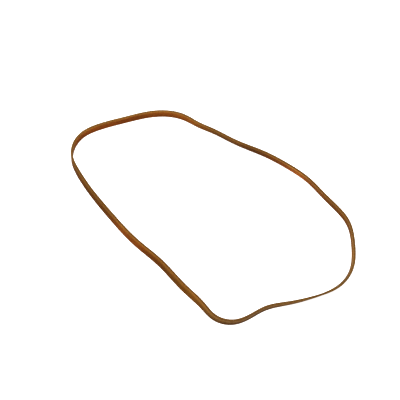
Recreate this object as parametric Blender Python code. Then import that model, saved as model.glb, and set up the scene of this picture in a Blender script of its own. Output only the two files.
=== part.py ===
"""A long, narrow rubber band, lying loose on a table.

The band is one closed ring sliced from a thin tube of natural rubber, so its section is a small
rectangle with two smooth faces and two cut edges. It stands on a cut edge all the way round,
and leans a little one way and the other as it wanders.
"""
import math

import bpy
import numpy as np

MM = 0.001

# Sizes of the band itself
FLAT_LENGTH = 152.4 * MM      # held flat and unstretched, from fold to fold
BAND_WIDTH = 3.2 * MM         # length of tube that was sliced off
BAND_THICKNESS = 0.8 * MM     # wall of that tube
EDGE_RADIUS = 0.1 * MM        # softness of the four long corners
CORNER_SHARE = 0.4            # most of the wall that a corner may take on a thin band

# Fineness of the surface
RING_SPACING = 1.3 * MM       # from one cross-section to the next
CORNER_STEPS = 2              # facets round each long corner
LEAN_BLEND = 7.0 * MM         # stretch over which a change of lean is spread
FINE_STEPS = 40               # samples between two places of the lie, to measure along it

# Finish
RUBBER_COLOUR = (0.27, 0.125, 0.035)
RUBBER_ROUGHNESS = 0.5

# How the band lies, once round anticlockwise as seen from above: x and y in millimetres, then
# the lean of its width in degrees. At 90 it stands upright on its edge, below 90 its top leans
# into the ring, and above 90 its top leans outwards.
LIE = [
    (-21.5, 46.5, 100),
    (-33.5, 43.5, 96),
    (-45.0, 39.5, 99),
    (-50.5, 36.0, 97),
    (-53.5, 31.0, 96),
    (-54.0, 25.0, 86),
    (-51.5, 18.5, 73),
    (-46.0, 9.5, 71),
    (-37.0, -2.5, 66),
    (-27.5, -13.5, 64),
    (-18.5, -22.0, 63),
    (-9.5, -32.5, 61),
    (-2.5, -40.0, 67),
    (1.5, -44.5, 78),
    (8.0, -46.5, 90),
    (14.0, -44.5, 93),
    (20.0, -41.0, 94),
    (28.5, -38.9, 102),
    (39.0, -36.0, 113),
    (47.4, -31.8, 116),
    (52.0, -26.0, 105),
    (53.9, -14.5, 98),
    (52.5, -4.5, 95),
    (48.0, 2.5, 94),
    (44.0, 7.5, 92),
    (38.5, 14.5, 90),
    (31.5, 20.5, 90),
    (21.5, 27.0, 90),
    (10.5, 32.5, 85),
    (1.5, 38.0, 86),
    (-4.5, 41.2, 90),
    (-10.0, 44.7, 98),
]


def smooth_loop(points):
    """Run a closed curve of even curvature through the points and sample it finely."""
    points = np.array(points, float)
    count = len(points)
    chord = np.linalg.norm(np.roll(points, -1, axis=0) - points, axis=1)
    # A cyclic cubic spline: its slopes make the curvature the same on both sides of each point
    system = np.zeros((count, count))
    wanted = np.zeros_like(points)
    for i in range(count):
        last, following = i - 1, (i + 1) % count
        system[i, last] = chord[i]
        system[i, i] = 2.0 * (chord[last] + chord[i])
        system[i, following] = chord[last]
        slope_in = (points[i] - points[last]) / chord[last]
        slope_out = (points[following] - points[i]) / chord[i]
        wanted[i] = 3.0 * (chord[i] * slope_in + chord[last] * slope_out)
    slopes = np.linalg.solve(system, wanted)

    fine = []
    for i in range(count):
        following = (i + 1) % count
        for t in np.arange(FINE_STEPS) / FINE_STEPS:
            start_share = (1 + 2 * t) * (1 - t) ** 2
            slope_part = t * (1 - t) ** 2 * slopes[i] - t * t * (1 - t) * slopes[following]
            fine.append(
                start_share * points[i]
                + (1 - start_share) * points[following]
                + chord[i] * slope_part
            )
    return np.array(fine)


def running_mean(values, reach):
    """Average each value with its neighbours round the ring, up to reach places away."""
    shifted = [np.roll(values, shift) for shift in range(-reach, reach + 1)]
    return np.mean(shifted, axis=0)


def lie_of_band():
    """Return evenly spaced middle points seen from above, and the lean at each in radians."""
    fine = smooth_loop([(x * MM, y * MM) for x, y, lean in LIE])
    steps = np.linalg.norm(np.roll(fine, -1, axis=0) - fine, axis=1)
    travelled = np.concatenate([[0.0], np.cumsum(steps)[:-1]])
    around = steps.sum()

    rings = round(2.0 * FLAT_LENGTH / RING_SPACING)
    even = np.arange(rings) * around / rings
    middle_x = np.interp(even, travelled, fine[:, 0], period=around)
    middle_y = np.interp(even, travelled, fine[:, 1], period=around)
    outline = np.column_stack([middle_x, middle_y]) * (2.0 * FLAT_LENGTH / around)
    outline -= (outline.min(axis=0) + outline.max(axis=0)) / 2.0

    leans = [math.radians(lean) for x, y, lean in LIE]
    lean_at = np.interp(even, travelled[::FINE_STEPS], leans, period=around)
    reach = round(LEAN_BLEND / RING_SPACING / 2.0)
    return outline, running_mean(lean_at, reach)


def section_outline():
    """Corners of the upright section, clockwise: through its thickness, then along its width."""
    radius = min(EDGE_RADIUS, CORNER_SHARE * BAND_THICKNESS, CORNER_SHARE * BAND_WIDTH)
    half_wall = BAND_THICKNESS / 2.0 - radius
    half_width = BAND_WIDTH / 2.0 - radius
    corners = []
    for quarter, (face, side) in enumerate([(1, -1), (-1, -1), (-1, 1), (1, 1)]):
        for step in range(CORNER_STEPS + 1):
            turn = -math.pi / 2.0 * (quarter + step / CORNER_STEPS)
            corners.append((
                face * half_wall + radius * math.cos(turn),
                side * half_width + radius * math.sin(turn),
            ))
    return np.array(corners)


def centre_height(lean):
    """Height of the section's middle at which its lowest corner just touches the table."""
    through, along = section_outline().T
    return -np.min(along * math.sin(lean) + through * math.cos(lean))


def rubber_material():
    """Natural rubber: warm brown, with a dull sheen."""
    material = bpy.data.materials.new("natural_rubber")
    material.use_nodes = True
    surface = material.node_tree.nodes["Principled BSDF"]
    surface.inputs["Base Color"].default_value = (*RUBBER_COLOUR, 1.0)
    surface.inputs["Roughness"].default_value = RUBBER_ROUGHNESS
    surface.inputs["Metallic"].default_value = 0.0
    return material


def closed_curve(name, dimensions, points):
    """Make a closed curve object that joins the points with straight pieces."""
    curve = bpy.data.curves.new(name, "CURVE")
    curve.dimensions = dimensions
    spline = curve.splines.new("POLY")
    spline.points.add(len(points) - 1)
    for control, point in zip(spline.points, points):
        control.co = (*point, 1.0)
    spline.use_cyclic_u = True
    obj = bpy.data.objects.new(name, curve)
    bpy.context.scene.collection.objects.link(obj)
    return obj


def make_section():
    """Draw the section as a guide that the band is swept from."""
    section = closed_curve("section_guide", "2D", [(x, y, 0.0) for x, y in section_outline()])
    section.hide_render = True
    section.display_type = "WIRE"
    return section


def make_band():
    """Sweep the section round the lie, turned at each point to the band's lean there."""
    outline, leans = lie_of_band()
    route = [(x, y, centre_height(lean)) for (x, y), lean in zip(outline, leans)]
    band = closed_curve("rubber_band", "3D", route)
    band.data.twist_mode = "Z_UP"
    for control, lean in zip(band.data.splines[0].points, leans):
        control.tilt = lean - math.pi / 2.0
    band.data.splines[0].use_smooth = True
    band.data.bevel_mode = "OBJECT"
    band.data.bevel_object = make_section()
    band.data.materials.append(rubber_material())
    return band


for leftover in list(bpy.data.objects):
    bpy.data.objects.remove(leftover, do_unlink=True)
make_band()
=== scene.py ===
"""A rubber band lying loose on a pale table, seen from in front and well above."""
import math

import bpy
import numpy as np
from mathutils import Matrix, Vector


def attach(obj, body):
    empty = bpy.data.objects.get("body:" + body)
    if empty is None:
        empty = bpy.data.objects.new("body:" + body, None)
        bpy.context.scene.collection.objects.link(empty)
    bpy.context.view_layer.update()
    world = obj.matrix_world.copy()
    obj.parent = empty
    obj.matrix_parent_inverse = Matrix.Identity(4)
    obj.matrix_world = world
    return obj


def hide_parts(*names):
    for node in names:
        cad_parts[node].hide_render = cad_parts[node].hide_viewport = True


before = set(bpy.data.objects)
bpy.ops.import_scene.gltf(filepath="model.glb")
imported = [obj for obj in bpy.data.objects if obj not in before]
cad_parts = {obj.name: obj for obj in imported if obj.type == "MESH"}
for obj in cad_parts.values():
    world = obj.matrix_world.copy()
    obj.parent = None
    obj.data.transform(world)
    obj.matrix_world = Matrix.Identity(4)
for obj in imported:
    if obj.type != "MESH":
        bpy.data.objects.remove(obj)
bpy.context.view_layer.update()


# The band's lie
# A limp ring that was dropped on the table. It stands on a cut edge all the way round, wanders
# in shallow bends, and leans a little into the ring or out of it, with nothing that holds it.
MM = 0.001
FLAT_LENGTH = 152.4 * MM      # held flat and unstretched, from fold to fold
RUN = 2.0 * FLAT_LENGTH       # once round the ring
UPRIGHT = 90                  # the lean, in degrees, of a stretch that stands upright
MEASURING_STEPS = 40          # samples between two places of the lie, to measure along it

# Once round anticlockwise as seen from above: x and y in millimetres, then the lean of its width
# in degrees. Where it is less than upright its top leans into the ring, and where more, outwards.
LIE = [
    (-21.5, 46.5, 100),
    (-33.5, 43.5, 96),
    (-45.0, 39.5, 99),
    (-50.5, 36.0, 97),
    (-53.5, 31.0, 96),
    (-54.0, 25.0, 86),
    (-51.5, 18.5, 73),
    (-46.0, 9.5, 71),
    (-37.0, -2.5, 66),
    (-27.5, -13.5, 64),
    (-18.5, -22.0, 63),
    (-9.5, -32.5, 61),
    (-2.5, -40.0, 67),
    (1.5, -44.5, 78),
    (8.0, -46.5, 90),
    (14.0, -44.5, 93),
    (20.0, -41.0, 94),
    (28.5, -38.9, 102),
    (39.0, -36.0, 113),
    (47.4, -31.8, 116),
    (52.0, -26.0, 105),
    (53.9, -14.5, 98),
    (52.5, -4.5, 95),
    (48.0, 2.5, 94),
    (44.0, 7.5, 92),
    (38.5, 14.5, 90),
    (31.5, 20.5, 90),
    (21.5, 27.0, 90),
    (10.5, 32.5, 85),
    (1.5, 38.0, 86),
    (-4.5, 41.2, 90),
    (-10.0, 44.7, 98),
]


def even_bends(places):
    """Return the handles that bend a closed curve evenly through the places."""
    count = len(places)
    chord = np.linalg.norm(np.roll(places, -1, axis=0) - places, axis=1)
    # A cyclic cubic spline: its slopes make the curvature the same on both sides of each place
    system = np.zeros((count, count))
    wanted = np.zeros_like(places)
    for i in range(count):
        last, following = i - 1, (i + 1) % count
        system[i, last] = chord[i]
        system[i, i] = 2.0 * (chord[last] + chord[i])
        system[i, following] = chord[last]
        slope_in = (places[i] - places[last]) / chord[last]
        slope_out = (places[following] - places[i]) / chord[i]
        wanted[i] = 3.0 * (chord[i] * slope_in + chord[last] * slope_out)
    slopes = np.linalg.solve(system, wanted)
    before = places - slopes * np.roll(chord, 1)[:, None] / 3.0
    after = places + slopes * chord[:, None] / 3.0
    return before, after


def sampled(places, before, after):
    """Walk once round the curve in small steps."""
    t = (np.arange(MEASURING_STEPS) / MEASURING_STEPS)[None, :, None]
    start, leaving = places[:, None], after[:, None]
    arriving, end = np.roll(before, -1, axis=0)[:, None], np.roll(places, -1, axis=0)[:, None]
    walk = (
        (1 - t) ** 3 * start
        + 3 * (1 - t) ** 2 * t * leaving
        + 3 * (1 - t) * t ** 2 * arriving
        + t ** 3 * end
    )
    return walk.reshape(-1, 2)


places = np.array([(x, y) for x, y, lean in LIE]) * MM
before, after = even_bends(places)
walk = sampled(places, before, after)
drawn_run = np.linalg.norm(np.roll(walk, -1, axis=0) - walk, axis=1).sum()
to_real_run = RUN / drawn_run
middle = (walk.min(axis=0) + walk.max(axis=0)) / 2.0

lie = bpy.data.curves.new("lie_of_band", "CURVE")
lie.dimensions = "3D"
spline = lie.splines.new("BEZIER")
spline.bezier_points.add(len(LIE) - 1)
spline.use_cyclic_u = True
for i, knot in enumerate(spline.bezier_points):
    knot.handle_left_type = knot.handle_right_type = "FREE"
    knot.co = (*(places[i] - middle) * to_real_run, 0.0)
    knot.handle_left = (*(before[i] - middle) * to_real_run, 0.0)
    knot.handle_right = (*(after[i] - middle) * to_real_run, 0.0)
    knot.tilt = math.radians(LIE[i][2] - UPRIGHT)
lying_band = bpy.data.objects.new("lie_of_band", lie)
bpy.context.scene.collection.objects.link(lying_band)


# The rubber
# Natural rubber, cured in a thin tube: amber brown, a little clear at its edges, with faint lines
# along it from the drawing of the tube, and a paler and duller cut where the knife went through.
# Its colour also holds painted light on the upper part of each wall, and painted shade above its
# lower edge and round its corners.
class Amount:
    """What a node gives out, so that sums on it read as plain Python."""

    def __init__(self, bench, socket):
        self.bench = bench
        self.socket = socket

    def __add__(self, other):
        return self.bench.maths("ADD", self, other)

    def __radd__(self, other):
        return self.bench.maths("ADD", other, self)

    def __sub__(self, other):
        return self.bench.maths("SUBTRACT", self, other)

    def __rsub__(self, other):
        return self.bench.maths("SUBTRACT", other, self)

    def __mul__(self, other):
        return self.bench.maths("MULTIPLY", self, other)

    def __rmul__(self, other):
        return self.bench.maths("MULTIPLY", other, self)

    def __truediv__(self, other):
        return self.bench.maths("DIVIDE", self, other)

    def __rtruediv__(self, other):
        return self.bench.maths("DIVIDE", other, self)

    def __pow__(self, other):
        return self.bench.maths("POWER", self, other)

    def __rpow__(self, other):
        return self.bench.maths("POWER", other, self)

    def __abs__(self):
        return self.bench.maths("ABSOLUTE", self)


class Bench:
    """The node tree that a material or a shape is put together on."""

    def __init__(self, tree):
        self.tree = tree

    def add(self, kind, settings=None, sockets=None, out=0):
        """Add a node, make its settings, fill its sockets, and return what it gives out."""
        node = self.tree.nodes.new(kind)
        for name, setting in (settings or {}).items():
            setattr(node, name, setting)
        for name, given in (sockets or {}).items():
            socket = node.inputs[name] if isinstance(name, int) else self.by_name(node.inputs, name)
            if isinstance(given, Amount):
                self.tree.links.new(given.socket, socket)
            else:
                socket.default_value = given
        if not node.outputs:
            return None
        found = node.outputs[out] if isinstance(out, int) else self.by_name(node.outputs, out)
        return Amount(self, found)

    def by_name(self, sockets, name):
        """Sockets that share a shown name, such as those of a Mix node, differ in identifier."""
        return next(socket for socket in sockets if name in (socket.identifier, socket.name))

    def other_output(self, amount, out):
        """Another output of the node that an amount comes from."""
        return Amount(self, self.by_name(amount.socket.node.outputs, out))

    def maths(self, operation, *given):
        """One sum on numbers, each a link or a plain number."""
        return self.add("ShaderNodeMath", {"operation": operation}, dict(enumerate(given)))

    def vector(self, x, y, z):
        return self.add("ShaderNodeCombineXYZ", {}, {0: x, 1: y, 2: z})

    def parts(self, vector):
        """The x, y and z of a vector."""
        x = self.add("ShaderNodeSeparateXYZ", {}, {0: vector}, out="X")
        return x, self.other_output(x, "Y"), self.other_output(x, "Z")

    def scaled(self, vector, amount):
        """Multiply a vector or a colour by an amount."""
        return self.add(
            "ShaderNodeVectorMath", {"operation": "SCALE"}, {"Vector": vector, "Scale": amount}
        )

    def noise(self, vector, per_metre, seed, detail=2.0, roughness=0.5):
        """Soft random values from 0 to 1, mostly near a half, with so many patches on a metre."""
        sockets = {"Vector": vector, "W": seed, "Scale": per_metre}
        return self.add(
            "ShaderNodeTexNoise",
            {"noise_dimensions": "4D"},
            {**sockets, "Detail": detail, "Roughness": roughness},
            out="Fac",
        )

    def swing(self, vector, per_metre, seed):
        """The same noise, but on both sides of zero."""
        return self.noise(vector, per_metre, seed) - 0.5

    def ease(self, amount, start, end, low=0.0, high=1.0):
        """Go smoothly from low to high while the amount goes from start to end."""
        return self.add(
            "ShaderNodeMapRange",
            {"interpolation_type": "SMOOTHSTEP"},
            {0: amount, 1: start, 2: end, 3: low, 4: high},
        )

    def patches(self, vector, per_metre, seed, start, end, low=0.0, detail=2.0):
        """Patches of 1 on a ground of low, where a noise rises from start to end."""
        return self.ease(self.noise(vector, per_metre, seed, detail), start, end, low)

    def blend(self, share, first, second):
        """Mix two colours, each a link or four numbers."""
        return self.add(
            "ShaderNodeMix",
            {"data_type": "RGBA"},
            {"Factor_Float": share, "A_Color": first, "B_Color": second},
            out="Result_Color",
        )


BAND_WIDTH = 3.2 * MM         # length of tube that was sliced off
BAND_THICKNESS = 0.8 * MM     # wall of that tube
EDGE_RADIUS = 0.1 * MM        # softness of the four long corners
TUBE_RADIUS = RUN / (2.0 * math.pi)
HALF_WIDTH = BAND_WIDTH / 2.0
HALF_WALL = BAND_THICKNESS / 2.0

# Spans of a noise's values, over which one colour gives way to another
MIDDLE = (0.35, 0.65)
MOST = (0.3, 0.7)
PEAKS = (0.5, 0.7)
UPPER = (0.45, 0.75)


class PlaceOnTube:
    """Where a point of the band's skin was on the tube before it was sliced."""

    def __init__(self, bench):
        self.whole = bench.add(
            "ShaderNodeAttribute",
            {"attribute_type": "GEOMETRY", "attribute_name": "tube"},
            out="Vector",
        )
        # Across the band's width is along the tube's axis, and through it is out from the
        # middle of the tube's wall
        self.x, self.y, self.across = bench.parts(self.whole)
        self.through = (self.x * self.x + self.y * self.y) ** 0.5 - TUBE_RADIUS


SIENNA = (0.195, 0.060, 0.008, 1.0)         # the wall where it is reddest
TOBACCO = (0.125, 0.038, 0.005, 1.0)        # the dark lines that the die drew along it
OLIVE = (0.150, 0.074, 0.009, 1.0)          # the wall where it has aged
PAINTED_TOP_LIGHT = (0.252, 0.124, 0.029, 1.0)          # painted light: the wall's upper part, lighter as if lit from above
AGED_SHARE = 0.8              # of the aged colour where the wall is oldest
TONE = (25.0, 2.0)            # redder and browner rubber: patches on a metre, and a seed
BROAD_LINES = 850.0           # drawn lines on a metre of width
FINE_LINES = 4200.0
FINE_LINE_SEED = 7.0
FINE_LINE_SHARE = 0.3
LINES_ALONG = 0.03            # how little the lines change along the run, against across it
LINES_THROUGH = 400.0         # how fast they change from the inner wall to the outer one
TOP_LIGHT_BORDER = (55.0, 360.0)   # the painted light's lower border: patches on a metre, and a seed
TOP_LIGHT_WANDER = 1.5             # how far the border wanders, in shares of half the width
TOP_LIGHT_SPAN = (0.05, 0.75)      # heights from which the painted light starts and is fullest, in the same shares
TOP_LIGHT_IN_LINES = 0.7           # how much of the painted light shows in a dark line
GRAIN_SHADE = 0.7             # how much the grain darkens or lightens, in doublings

# Lighter and darker stretches: patches on a metre, a seed, and doublings over the noise's range
SHADES = [
    (25.0, 292.0, 3.0),
    (25.0, 366.0, 1.7),
    (55.0, 85.0, 1.6),
    (55.0, 290.0, 1.6),
]

WALL_ROUGHNESS = 0.55
LINE_ROUGHNESS = 0.2          # what the broad lines add to it
LINE_RELIEF = 0.40            # shares of the bump's depth
FINE_LINE_RELIEF = 0.30
CLOUD_RELIEF = 0.10
GRAIN_RELIEF = 0.20           # on the cut too


def drawn_wall(bench, place, aged, clouds, grain):
    """Colour, roughness and height of a wall, with the lines that the die drew along it and painted
    light on its upper part.
    """
    drawn_place = bench.vector(place.x * LINES_ALONG, place.y * LINES_ALONG, place.across)
    line_seed = place.through * LINES_THROUGH
    broad_lines = bench.noise(drawn_place, BROAD_LINES, line_seed, detail=1.0)
    fine_lines = bench.noise(drawn_place, FINE_LINES, line_seed + FINE_LINE_SEED)

    tone = bench.swing(place.whole, *TONE)
    colour = bench.blend(bench.ease(broad_lines + tone, *MIDDLE), TOBACCO, SIENNA)
    colour = bench.blend(AGED_SHARE * aged, colour, OLIVE)
    colour = bench.blend(bench.ease(fine_lines, *PEAKS, 0.0, FINE_LINE_SHARE), colour, TOBACCO)

    # Painted light: the upper part of the wall is lighter, as if lit from above, and less so in the
    # dark lines
    # The height is 1 at the upper cut and -1 at the lower one
    height_share = 0.0 - place.across / HALF_WIDTH
    border = bench.swing(place.whole, *TOP_LIGHT_BORDER)
    top_light = bench.ease(height_share + TOP_LIGHT_WANDER * border, *TOP_LIGHT_SPAN)
    shows = bench.ease(broad_lines, *MOST, TOP_LIGHT_IN_LINES)
    colour = bench.blend(top_light * shows, colour, PAINTED_TOP_LIGHT)

    doublings = sum(
        strength * bench.swing(place.whole, per_metre, seed)
        for per_metre, seed, strength in SHADES
    )
    doublings = doublings + GRAIN_SHADE * (grain - 0.5)
    colour = bench.scaled(colour, 2.0 ** doublings)

    roughness = WALL_ROUGHNESS + LINE_ROUGHNESS * bench.ease(broad_lines, *MOST)
    height = (
        LINE_RELIEF * broad_lines
        + FINE_LINE_RELIEF * fine_lines
        + CLOUD_RELIEF * clouds
        + GRAIN_RELIEF * grain
    )
    return colour, roughness, height


CUT_TAN = (0.260, 0.155, 0.050, 1.0)        # a fresh cut
CUT_SHADE = (0.175, 0.102, 0.034, 1.0)      # the same in the knife's furrows
CUT_WORN = (0.125, 0.058, 0.012, 1.0)       # the cut where it has darkened
FRESH = (9.0, 118.0, 0.26, 0.66)            # patches on a metre, a seed, and their noise's span
FURROWS = (3000.0, 17.0)                    # furrows on a metre, and a seed
FINE_FURROWS = (9000.0, 19.0)
FURROWS_ALONG = 0.05          # how little the furrows change along the run
FINE_FURROW_SHARE = 0.35      # of the worn colour in the fine furrows
CUT_ROUGHNESS = 0.65
FURROW_ROUGHNESS = 0.15       # what the furrows add to it
FURROW_RELIEF = 0.55          # shares of the bump's depth
FINE_FURROW_RELIEF = 0.25


def knife_cut(bench, place, grain):
    """Colour, roughness and height of a cut, with the furrows that the knife left along it."""
    knife_place = bench.vector(place.x * FURROWS_ALONG, place.y * FURROWS_ALONG, place.through)
    furrows = bench.noise(knife_place, *FURROWS)
    fine_furrows = bench.noise(knife_place, *FINE_FURROWS, detail=1.0)
    fresh = bench.patches(place.whole, *FRESH)

    colour = bench.blend(bench.ease(furrows, *MIDDLE), CUT_SHADE, CUT_TAN)
    worn_share = bench.ease(fine_furrows, *UPPER, 0.0, FINE_FURROW_SHARE)
    colour = bench.blend(worn_share, colour, CUT_WORN)
    colour = bench.blend(fresh, CUT_WORN, colour)

    roughness = CUT_ROUGHNESS + FURROW_ROUGHNESS * furrows
    height = (
        FURROW_RELIEF * furrows
        + FINE_FURROW_RELIEF * fine_furrows
        + GRAIN_RELIEF * grain
    )
    return colour, roughness, height


DUST = (0.310, 0.205, 0.100, 1.0)           # powder and wax that lie on the oldest stretches
PAINTED_SHADE = (0.085, 0.038, 0.010, 1.0)          # painted shade, above the lower edge and round the corners
DIRT_AND_SHADE_PATCHES = (9.0, 208.0, 0.58, 0.66)            # where dust and painted shade lie: patches on a metre, a seed, and their noise's span
SPECKS = (3400.0, 23.0, 0.62, 0.72)
LEAST_DIRT_AND_SHADE = 0.2              # of the fullest stretches' dust and painted shade, on the emptiest
DUST_SHARES = (0.12, 0.20)    # thin and thick
SPECK_SHARE = 0.06            # of every speck
SPECK_SHARE_IN_DUST = 1.2     # what dust adds to it
LOWER_SHADE_SHARE = 0.72
CORNER_SHADE_SHARE = 0.8
LOWER_SHADE_HEIGHT = 2.4 * MM      # above the lower edge, where the painted shade ends
LOWER_SHADE_MOST = 0.2 * MM        # the same, where it is darkest
CORNER_SHADE_WIDTH = 0.20 * MM        # from a corner to where its painted shade ends
CORNER_SHADE_MOST = 0.6 * EDGE_RADIUS     # the same, to where it is darkest


def worn_and_shaded(bench, place, colour, aged, clouds):
    """Lay dust and specks over a colour, and painted shade above the lower edge and round every
    corner.
    """
    dirt_and_shade = bench.patches(place.whole, *DIRT_AND_SHADE_PATCHES, low=LEAST_DIRT_AND_SHADE)
    specks = bench.patches(place.whole, *SPECKS, detail=1.0)
    dusty = bench.ease(clouds, *MOST, *DUST_SHARES) * aged * dirt_and_shade
    colour = bench.blend(dusty, colour, DUST)
    colour = bench.blend(specks * (SPECK_SHARE + SPECK_SHARE_IN_DUST * dusty), colour, DUST)

    # Painted shade above the edge that it stands on, where the wall meets the table
    lower_shade = bench.ease(place.across, HALF_WIDTH - LOWER_SHADE_HEIGHT, HALF_WIDTH - LOWER_SHADE_MOST) * dirt_and_shade
    colour = bench.blend(LOWER_SHADE_SHARE * lower_shade, colour, PAINTED_SHADE)

    # Painted shade: a dark line round every corner
    from_cut = HALF_WIDTH - abs(place.across)
    from_wall = HALF_WALL - abs(place.through)
    from_corner = (from_cut * from_cut + from_wall * from_wall) ** 0.5
    corner_shade = bench.ease(from_corner, CORNER_SHADE_WIDTH, CORNER_SHADE_MOST) * dirt_and_shade
    return bench.blend(CORNER_SHADE_SHARE * corner_shade, colour, PAINTED_SHADE)


AGED = (9.0, 352.0, 0.42, 0.57)             # patches on a metre, a seed, and their noise's span
CLOUDS = (420.0, 5.0)                       # uneven dust: patches on a metre, and a seed
GRAIN = (2600.0, 11.0)
CUT_BORDER = 0.3 * EDGE_RADIUS              # from the cut's face to where its look is complete
BUMP_STRENGTH = 0.5
BUMP_DEPTH = 0.06 * MM

# Some light goes in and comes out again close by, redder, and little of it shines off the skin
RUBBER_BODY = {
    "Subsurface Weight": 0.15,
    "Subsurface Radius": (1.0, 0.4, 0.12),
    "Subsurface Scale": 0.5 * MM,
    "IOR": 1.52,
    "Specular IOR Level": 0.06,
}


def natural_rubber():
    """The band's finish: its walls, its cuts, and the wear and painted shade that lie over both."""
    material = bpy.data.materials.new("natural_rubber_band")
    material.use_nodes = True
    bench = Bench(material.node_tree)
    surface = material.node_tree.nodes["Principled BSDF"]
    place = PlaceOnTube(bench)
    aged = bench.patches(place.whole, *AGED)
    clouds = bench.noise(place.whole, *CLOUDS, detail=4.0, roughness=0.6)
    grain = bench.noise(place.whole, *GRAIN, detail=3.0, roughness=0.6)
    wall_colour, wall_roughness, wall_height = drawn_wall(bench, place, aged, clouds, grain)
    cut_colour, cut_roughness, cut_height = knife_cut(bench, place, grain)

    cut = bench.ease(abs(place.across), HALF_WIDTH - EDGE_RADIUS, HALF_WIDTH - CUT_BORDER)
    colour = worn_and_shaded(bench, place, bench.blend(cut, wall_colour, cut_colour), aged, clouds)
    roughness = wall_roughness * (1 - cut) + cut_roughness * cut
    height = wall_height * (1 - cut) + cut_height * cut
    bump = bench.add(
        "ShaderNodeBump",
        {},
        {"Strength": BUMP_STRENGTH, "Distance": BUMP_DEPTH, "Height": height},
    )
    for name, amount in (("Base Color", colour), ("Roughness", roughness), ("Normal", bump)):
        bench.tree.links.new(amount.socket, surface.inputs[name])
    for name, value in RUBBER_BODY.items():
        surface.inputs[name].default_value = value
    return material


# The band
# One closed ring sliced from a thin tube of rubber, so its section is a small rectangle: two
# smooth walls, and two edges that the knife left. The cut wavers a little, the wall is a little
# thicker in places, and the rubber springs back from the knife, which leaves each cut dished.
RINGS = 1524                  # sections round the ring, 0.2 mm apart
WALL_STRIPS = 15              # cuts across each wall
EDGE_STRIPS = 3               # cuts across each cut edge
CORNER_STEPS = 3              # facets round each long corner
LEAN_BLURS = 250              # passes that spread a change of lean over its neighbours
SWELL_DEPTH = 0.03 * MM
SWELL_LENGTH = 20.0 * MM
DRAWN_LINE_DEPTH = 0.02 * MM
DRAWN_LINE_PITCH = 0.7 * MM
WAVER_DEPTH = 0.10 * MM       # of the upper cut, because the lower one lies flat on the table
WAVER_LENGTH = 7.0 * MM
FURROW_DEPTH = 0.03 * MM
FURROW_PITCH = 0.35 * MM
DISH_DEPTH = 0.02 * MM
SEED = 4
TREE_INPUTS = {
    "Rings": ("NodeSocketInt", RINGS),
    "Width": ("NodeSocketFloat", BAND_WIDTH),
    "Wall": ("NodeSocketFloat", BAND_THICKNESS),
    "Edge Radius": ("NodeSocketFloat", EDGE_RADIUS),
    "Swell Depth": ("NodeSocketFloat", SWELL_DEPTH),
    "Swell Length": ("NodeSocketFloat", SWELL_LENGTH),
    "Drawn Line Depth": ("NodeSocketFloat", DRAWN_LINE_DEPTH),
    "Drawn Line Pitch": ("NodeSocketFloat", DRAWN_LINE_PITCH),
    "Waver Depth": ("NodeSocketFloat", WAVER_DEPTH),
    "Waver Length": ("NodeSocketFloat", WAVER_LENGTH),
    "Furrow Depth": ("NodeSocketFloat", FURROW_DEPTH),
    "Furrow Pitch": ("NodeSocketFloat", FURROW_PITCH),
    "Dish Depth": ("NodeSocketFloat", DISH_DEPTH),
    "Seed": ("NodeSocketInt", SEED),
    "Rubber": ("NodeSocketMaterial", natural_rubber()),
}


def kept(bench, geometry, name, vector):
    """Keep a vector for each point of a curve or a mesh, under a name."""
    return bench.add(
        "GeometryNodeStoreNamedAttribute",
        {"data_type": "FLOAT_VECTOR", "domain": "POINT"},
        {"Geometry": geometry, "Name": name, "Value": vector},
    )


def recalled(bench, name):
    """The vector that was kept under a name."""
    return bench.add(
        "GeometryNodeInputNamedAttribute", {"data_type": "FLOAT_VECTOR"}, {"Name": name}
    )


def resting_rail(bench, given, lie):
    """Even places along the lie, each with its lean, at the height where the section rests."""
    rail = bench.add(
        "GeometryNodeResampleCurve", {"mode": "COUNT"}, {"Curve": lie, "Count": given("Rings")}
    )
    tilt = bench.add("GeometryNodeInputCurveTilt")
    lean = bench.add("GeometryNodeBlurAttribute", {}, {"Value": tilt, "Iterations": LEAN_BLURS})
    rail = bench.add("GeometryNodeSetCurveTilt", {}, {"Curve": rail, "Tilt": lean})
    rail = bench.add("GeometryNodeSetCurveNormal", {"mode": "Z_UP"}, {"Curve": rail})
    radius = given("Edge Radius")
    rest_height = (
        (given("Width") / 2.0 - radius) * bench.maths("COSINE", tilt)
        + (given("Wall") / 2.0 - radius) * abs(bench.maths("SINE", tilt))
        + radius
    )
    rise = bench.vector(0.0, 0.0, rest_height)
    rail = bench.add("GeometryNodeSetPosition", {}, {"Geometry": rail, "Offset": rise})

    # The way from the uncut tube's axis to each place
    turn = bench.add("GeometryNodeSplineParameter", out="Factor") * (2.0 * math.pi)
    heading = bench.vector(bench.maths("COSINE", turn), bench.maths("SINE", turn), 0.0)
    return kept(bench, rail, "heading", heading)


def cut_section(bench, given):
    """A rectangle with cuts along its sides and round corners."""
    section = bench.add(
        "GeometryNodeCurvePrimitiveQuadrilateral",
        {"mode": "RECTANGLE"},
        {"Width": given("Wall"), "Height": given("Width")},
    )
    # Every second side of the rectangle is a wall
    on_wall = bench.maths("MODULO", bench.add("GeometryNodeInputIndex"), 2.0)
    cuts = on_wall * (WALL_STRIPS - EDGE_STRIPS) + EDGE_STRIPS
    section = bench.add("GeometryNodeSubdivideCurve", {}, {"Curve": section, "Cuts": cuts})

    # Only the rectangle's own corners are rounded: no other point lies so far out
    position = bench.add("GeometryNodeInputPosition")
    x, y = bench.parts(position)[:2]
    radius = given("Edge Radius")
    nearly_corner = (given("Wall") + given("Width")) / 2.0 - radius / 2.0
    at_corner = bench.maths("GREATER_THAN", abs(x) + abs(y), nearly_corner)
    section = bench.add(
        "GeometryNodeFilletCurve",
        {"mode": "POLY"},
        {"Curve": section, "Count": CORNER_STEPS, "Radius": radius * at_corner},
    )
    return kept(bench, section, "section", position)


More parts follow.
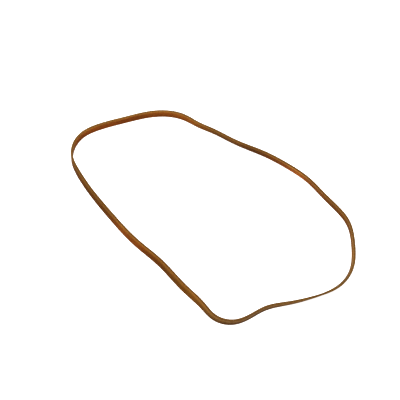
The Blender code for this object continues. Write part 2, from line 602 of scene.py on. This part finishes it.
CUT_EDGE = 0.2                # share of the corner's radius where the cut's marks are complete
SEED_STEP = 10.0              # from one seed's patterns to the next seed's
WAVER_SEED = 3.0
FURROW_SEED = 5.0
LINES_OUT = 900.0             # how fast the drawn lines change from wall to wall
LINE_TUBE_RADIUS = 1.7 * MM   # of a thinner tube, so that its lines run on when it is widened
FURROW_TUBE_RADIUS = 2.5 * MM


def marks_of_making(bench, given, heading_x, heading_y, through, across):
    """How far the die, the curing and the knife moved the skin outwards."""

    def on_tube(radius, along_axis):
        return bench.vector(heading_x * radius, heading_y * radius, along_axis)

    tube = recalled(bench, "tube")
    seed = given("Seed") * SEED_STEP
    radius = given("Edge Radius")
    half_width = given("Width") / 2.0
    half_wall = given("Wall") / 2.0

    swell = bench.swing(tube, 1.0 / given("Swell Length"), seed)
    drawn_place = on_tube(LINE_TUBE_RADIUS, across)
    lines = bench.swing(drawn_place, 1.0 / given("Drawn Line Pitch"), seed + through * LINES_OUT)
    wall_change = swell * given("Swell Depth") * 2.0 + lines * given("Drawn Line Depth")

    cut_place = on_tube(TUBE_RADIUS, across)
    waver = bench.swing(cut_place, 1.0 / given("Waver Length"), seed + WAVER_SEED)
    upper = bench.ease(across, half_width, 0.0 - half_width)
    knife_place = on_tube(FURROW_TUBE_RADIUS, through)
    furrow = bench.noise(knife_place, 1.0 / given("Furrow Pitch"), seed + FURROW_SEED)
    dish = 1.0 - (through / half_wall) ** 2.0
    cut_change = (
        waver * given("Waver Depth") * upper
        + furrow * given("Furrow Depth")
        + dish * given("Dish Depth")
    )

    on_cut = bench.ease(abs(across), half_width - radius, half_width - radius * CUT_EDGE)
    return wall_change * (1.0 - on_cut) - cut_change * on_cut


def sliced_band_tree():
    """Sweep the section of a cut rubber tube round a closed curve that has the lean as tilt."""
    tree = bpy.data.node_groups.new("sliced_band", "GeometryNodeTree")
    tree.interface.new_socket("Lie", in_out="INPUT", socket_type="NodeSocketGeometry")
    for name, (kind, value) in TREE_INPUTS.items():
        tree.interface.new_socket(name, in_out="INPUT", socket_type=kind)
    tree.interface.new_socket("Band", in_out="OUTPUT", socket_type="NodeSocketGeometry")
    bench = Bench(tree)
    lie_in = bench.add("NodeGroupInput", out="Lie")

    def given(name):
        return bench.other_output(lie_in, name)

    rail = resting_rail(bench, given, lie_in)
    section = cut_section(bench, given)
    ring = bench.add("GeometryNodeCurveToMesh", {}, {"Curve": rail, "Profile Curve": section})

    # Each point's place on the tube before it was sliced, which every pattern goes by
    heading_x, heading_y = bench.parts(recalled(bench, "heading"))[:2]
    through, across = bench.parts(recalled(bench, "section"))[:2]
    from_axis = through + TUBE_RADIUS
    tube = bench.vector(heading_x * from_axis, heading_y * from_axis, across)
    ring = kept(bench, ring, "tube", tube)

    outward = marks_of_making(bench, given, heading_x, heading_y, through, across)
    offset = bench.scaled(bench.add("GeometryNodeInputNormal"), outward)
    ring = bench.add("GeometryNodeSetPosition", {}, {"Geometry": ring, "Offset": offset})
    for helper in ("heading", "section"):
        ring = bench.add("GeometryNodeRemoveAttribute", {}, {"Geometry": ring, "Name": helper})
    ring = bench.add("GeometryNodeSetShadeSmooth", {}, {"Geometry": ring})
    ring = bench.add("GeometryNodeRealizeInstances", {}, {"Geometry": ring})
    ring = bench.add("GeometryNodeSetMaterial", {}, {"Geometry": ring, "Material": given("Rubber")})
    bench.add("NodeGroupOutput", {}, {"Band": ring})
    return tree


def made_solid(shaped, name):
    """Turn what a modifier shapes into a plain mesh object, and drop the shaped one."""
    depsgraph = bpy.context.evaluated_depsgraph_get()
    mesh = bpy.data.meshes.new_from_object(
        shaped.evaluated_get(depsgraph), preserve_all_data_layers=True, depsgraph=depsgraph
    )
    mesh.name = name
    solid = bpy.data.objects.new(name, mesh)
    bpy.context.scene.collection.objects.link(solid)
    shaped.modifiers.clear()
    bpy.data.objects.remove(shaped, do_unlink=True)
    return solid


SHEET_ROWS = 6                # rows that the run is cut into, one above the other on the sheet
SHEET_MARGIN = 0.005          # share of the sheet that stays clear beside a row
ROW_MARGIN = 0.03             # share of a row that stays clear above and below it


def unrolled(mesh):
    """Lay the band's skin flat on a square sheet: its run along the rows, its girth up each row."""
    points_round = len(mesh.vertices) // RINGS
    rings_in_row = RINGS // SHEET_ROWS
    corner_points = np.empty(len(mesh.loops), dtype=int)
    mesh.loops.foreach_get("vertex_index", corner_points)
    # One row for each face, and each face has four corners
    ring, place = np.divmod(corner_points.reshape(-1, 4), points_round)
    # The faces that close the ring and the girth run on to one past the last
    closes_ring = np.ptp(ring, axis=1, keepdims=True) > 1
    closes_girth = np.ptp(place, axis=1, keepdims=True) > 1
    ring = np.where(closes_ring & (ring == 0), RINGS, ring)
    place = np.where(closes_girth & (place == 0), points_round, place)
    row = ring.min(axis=1, keepdims=True) // rings_in_row
    along = ring / rings_in_row - row
    up = 1.0 - place / points_round     # the other way up, the skin would be mirrored
    u = SHEET_MARGIN + along * (1.0 - 2.0 * SHEET_MARGIN)
    v = (row + ROW_MARGIN + up * (1.0 - 2.0 * ROW_MARGIN)) / SHEET_ROWS
    sheet = mesh.uv_layers.new(name="OFBake")
    sheet.uv.foreach_set("vector", np.stack([u, v], axis=-1).astype(np.float32).ravel())


tree = sliced_band_tree()
slicing = lying_band.modifiers.new("sliced_band", "NODES")
slicing.node_group = tree
for socket in tree.interface.items_tree:
    if socket.in_out == "INPUT" and socket.name in TREE_INPUTS:
        slicing[socket.identifier] = TREE_INPUTS[socket.name][1]
band = made_solid(lying_band, "band")
unrolled(band.data)

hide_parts("rubber_band")
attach(band, "root")


# The table
# A plain, pale, matt table top, much wider than the view. Like the glass of a light table it is
# lit from below too, which keeps the shadows faint and throws light up on the band.
TABLE_SIDE = 20.0
TABLE_WHITE = (0.90, 0.90, 0.90, 1.0)
TABLE_GLOW = 0.60
TABLE_ROUGHNESS = 0.8
TABLE_GRAIN = (900.0, 1.0)    # patches on a metre, and a seed
GRAIN_ROUGHNESS = 0.1         # what the grain adds


def matt_white():
    """The table's finish: white, matt and finely grained, with a glow from below."""
    material = bpy.data.materials.new("table_white")
    material.use_nodes = True
    bench = Bench(material.node_tree)
    surface = material.node_tree.nodes["Principled BSDF"]
    place = bench.add("ShaderNodeTexCoord", out="Object")
    roughness = TABLE_ROUGHNESS + GRAIN_ROUGHNESS * bench.noise(place, *TABLE_GRAIN)
    surface.inputs["Base Color"].default_value = TABLE_WHITE
    surface.inputs["Emission Color"].default_value = TABLE_WHITE
    surface.inputs["Emission Strength"].default_value = TABLE_GLOW
    bench.tree.links.new(roughness.socket, surface.inputs["Roughness"])
    return material


half_side = TABLE_SIDE / 2.0
corner_signs = ((-1, -1), (1, -1), (1, 1), (-1, 1))
corners = [(x * half_side, y * half_side, 0.0) for x, y in corner_signs]
top = bpy.data.meshes.new("table_top")
top.from_pydata(corners, [], [(0, 1, 2, 3)])
top.materials.append(matt_white())
table = bpy.data.objects.new("table_top", top)
bpy.context.scene.collection.objects.link(table)


# The light
# A white room and one wide soft panel overhead, as for a picture of a small thing on white. The
# contrast of the picture is set here too.
WHITE = (1.0, 1.0, 1.0, 1.0)
PANEL_SIDE = 1.0
PANEL_PLACE = (-0.10, 0.16, 0.80)
PANEL_WATTS = 7.0
ROOM_LIGHT = 0.45

panel = bpy.data.lights.new("soft_panel", "AREA")
panel.shape = "SQUARE"
panel.size = PANEL_SIDE
panel.energy = PANEL_WATTS
soft_panel = bpy.data.objects.new("soft_panel", panel)
soft_panel.location = PANEL_PLACE
soft_panel.rotation_euler = Vector(PANEL_PLACE).to_track_quat("Z", "Y").to_euler()
bpy.context.scene.collection.objects.link(soft_panel)

room = bpy.data.worlds.new("white_room")
room.use_nodes = True
room.node_tree.nodes["Background"].inputs["Color"].default_value = WHITE
room.node_tree.nodes["Background"].inputs["Strength"].default_value = ROOM_LIGHT
bpy.context.scene.world = room
bpy.context.scene.view_settings.view_transform = "Standard"
bpy.context.scene.view_settings.look = "High Contrast"


# The camera
# In front of the band and well above it, with the whole lie near the middle of the picture.
# A long lens, so that the near and far parts of the ring show at almost the same size.
LENS = 100.0
SENSOR_WIDTH = 36.0
CAMERA_DISTANCE = 430.0 * MM
CAMERA_ELEVATION = math.radians(58.0)
AIM = (-3.46 * MM, 6.29 * MM, 0.0)

camera_data = bpy.data.cameras.new("camera")
camera_data.lens = LENS
camera_data.sensor_width = SENSOR_WIDTH
camera = bpy.data.objects.new("camera", camera_data)
camera.location = (
    AIM[0],
    AIM[1] - CAMERA_DISTANCE * math.cos(CAMERA_ELEVATION),
    CAMERA_DISTANCE * math.sin(CAMERA_ELEVATION),
)
camera.rotation_euler = (math.pi / 2.0 - CAMERA_ELEVATION, 0.0, 0.0)
bpy.context.scene.collection.objects.link(camera)
bpy.context.scene.camera = camera
